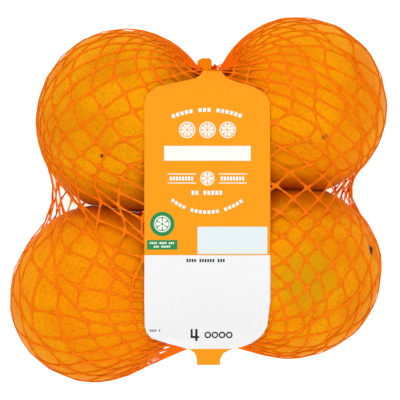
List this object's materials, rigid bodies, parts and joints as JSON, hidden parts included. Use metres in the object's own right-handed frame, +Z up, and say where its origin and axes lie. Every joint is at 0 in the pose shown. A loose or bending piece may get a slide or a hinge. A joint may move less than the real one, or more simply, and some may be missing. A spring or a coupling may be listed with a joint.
{
  "type": "net of oranges",
  "caption": "Large oranges packed in a red-orange plastic net drawn together at both ends, with an orange and white film label along the front.",
  "frame": {"origin": "on the table under the middle of the pack, which lies on its back", "axes": "+X across the pack to the right of the label, +Y along the pack towards its upper bunch, +Z up out of the label"},
  "size_m": [0.1815, 0.1753, 0.0843],
  "materials": {
    "peel": "waxed orange peel with fine pores, half glossy",
    "netting": "thin extruded plastic net, smooth",
    "label": "thin printed film, softly glossy"
  },
  "bodies": {
    "root": {"net_of_oranges": "peel", "label": "label"}
  },
  "joints": []
}
